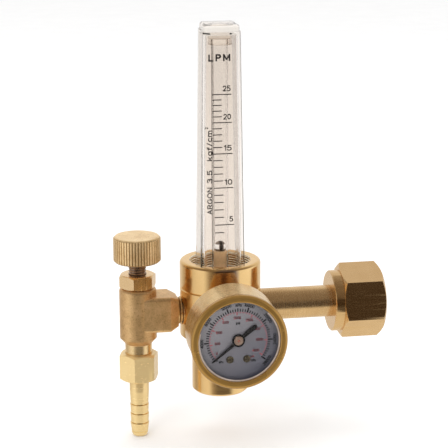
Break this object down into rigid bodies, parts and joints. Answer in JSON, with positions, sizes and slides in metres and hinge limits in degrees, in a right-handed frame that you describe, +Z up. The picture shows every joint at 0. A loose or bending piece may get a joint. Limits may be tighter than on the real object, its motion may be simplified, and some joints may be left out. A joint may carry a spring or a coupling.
{
  "type": "gas regulator",
  "caption": "Brass gas regulator with a clear square flow-meter tube, a round pressure gauge, a needle valve with a hose tail and a swivelling inlet nut.",
  "frame": {"origin": "on the inlet axis at the mouth of the inlet nut", "axes": "+X out of the inlet nut, +Z up along the flow tube, -Y towards the reader of the gauge"},
  "size_m": [0.1233, 0.0694, 0.1893],
  "materials": {
    "brass_body": "polished turned brass",
    "brass_collar": "polished turned brass",
    "brass_stem": "drawn brass tube",
    "brass_nut": "machined brass",
    "brass_forged": "matte forged brass",
    "brass_gland": "machined brass",
    "brass_knob": "satin brass",
    "brass_bright": "bright yellow brass",
    "brass_inner": "machined brass",
    "case_brass": "pale satin brass",
    "bezel_brass": "glossy ochre brass",
    "dial_face": "printed satin enamel",
    "pointer_black": "satin black",
    "pointer_cap_brass": "bright brass",
    "screw_brass": "plated",
    "steel": "oiled steel",
    "ball_steel": "polished",
    "clear_cover": "clear moulded polycarbonate",
    "clear_tube": "clear tube",
    "lens": "clear",
    "rubber": "nitrile",
    "nylon": "natural nylon",
    "sinter": "sintered bronze",
    "spring_steel": "spring steel"
  },
  "bodies": {
    "regulator": {"regulator_body": "brass_body", "end_plug": "brass_inner", "end_plug_o_ring": "rubber", "seat_nozzle": "brass_inner", "regulating_spring": "spring_steel", "flow_tube_collar": "brass_collar", "flow_tube_shield": "clear_cover", "metering_tube": "clear_tube", "lower_float_stop": "brass_inner", "upper_float_stop": "nylon", "tube_o_ring": "rubber", "collar_o_ring": "rubber", "inlet_stem": "brass_stem", "inlet_filter": "sinter", "filter_ring": "brass_inner", "inlet_washer": "nylon", "gauge_socket": "brass_inner", "gauge_washer": "nylon", "gauge_case": "case_brass", "gauge_bezel": "bezel_brass", "gauge_lens": "lens", "lens_gasket": "rubber", "gauge_dial": "dial_face", "dial_screws": "screw_brass", "bourdon_tube": "brass_inner", "bourdon_tip": "brass_inner", "movement_back_plate": "brass_inner", "movement_front_plate": "brass_inner", "movement_pillars": "brass_inner", "movement_screws": "screw_brass", "hairspring": "spring_steel", "valve_body": "brass_forged", "gland_nut": "brass_gland", "gland_packing": "nylon", "hose_nut": "brass_bright", "hose_barb": "brass_bright"},
    "valve_lift_body": {"stem_o_ring": "rubber"},
    "valve_spindle": {"valve_stem": "steel", "valve_knob": "brass_knob"},
    "swivel_nut": {"inlet_nut": "brass_nut"},
    "pointer_assembly": {"gauge_pointer": "pointer_black", "pointer_cap": "pointer_cap_brass", "pinion_shaft": "brass_inner"},
    "sector": {"sector_gear": "brass_inner"},
    "link": {"gauge_link": "brass_inner"},
    "float": {"float_ball": "ball_steel"},
    "piston": {"regulating_piston": "brass_inner", "seat_disc": "nylon", "piston_stem_o_ring": "rubber", "piston_head_o_ring": "rubber"}
  },
  "joints": [
    {"name": "valve_lift", "type": "slide", "parent": "regulator", "child": "valve_lift_body", "axis": [0, 0, 1], "range_m": [0, 0.00375]},
    {"name": "valve_turn", "type": "hinge", "parent": "valve_lift_body", "child": "valve_spindle", "pos_m": [-0.1126, 0, 0.029], "axis": [0, 0, 1], "range_deg": [0, 1080]},
    {"name": "nut_swivel", "type": "hinge", "parent": "regulator", "child": "swivel_nut", "pos_m": [-0.01, 0, 0], "axis": [1, 0, 0], "continuous": true},
    {"name": "sector_swing", "type": "hinge", "parent": "regulator", "child": "sector", "pos_m": [-0.06905, -0.042, -0.01076], "axis": [0, 1, 0], "range_deg": [-38.7, 0], "stiffness_Nm_per_rad": 0.0005},
    {"name": "pointer_turn", "type": "hinge", "parent": "regulator", "child": "pointer_assembly", "pos_m": [-0.0748, -0.045, -0.0008], "axis": [0, 1, 0], "range_deg": [0, 258.2]},
    {"name": "link_swing", "type": "hinge", "parent": "sector", "child": "link", "pos_m": [-0.06559, -0.042, -0.00876], "axis": [0, 1, 0], "range_deg": [0, 39]},
    {"name": "float_rise", "type": "slide", "parent": "regulator", "child": "float", "axis": [0, 0, 1], "range_m": [0, 0.0887]},
    {"name": "piston_stroke", "type": "slide", "parent": "regulator", "child": "piston", "axis": [0, 0, 1], "range_m": [0, 0.001], "stiffness_N_per_m": 20000, "springref_m": -0.0008, "deforming": ["regulating_spring"]}
  ],
  "couplings": [
    {"joint": "valve_turn", "follows": "valve_lift", "rad_per_m": 5026.5},
    {"joint": "pointer_turn", "follows": "sector_swing", "ratio": -6.6667},
    {"joint": "link_swing", "follows": "sector_swing", "ratio": -1}
  ]
}
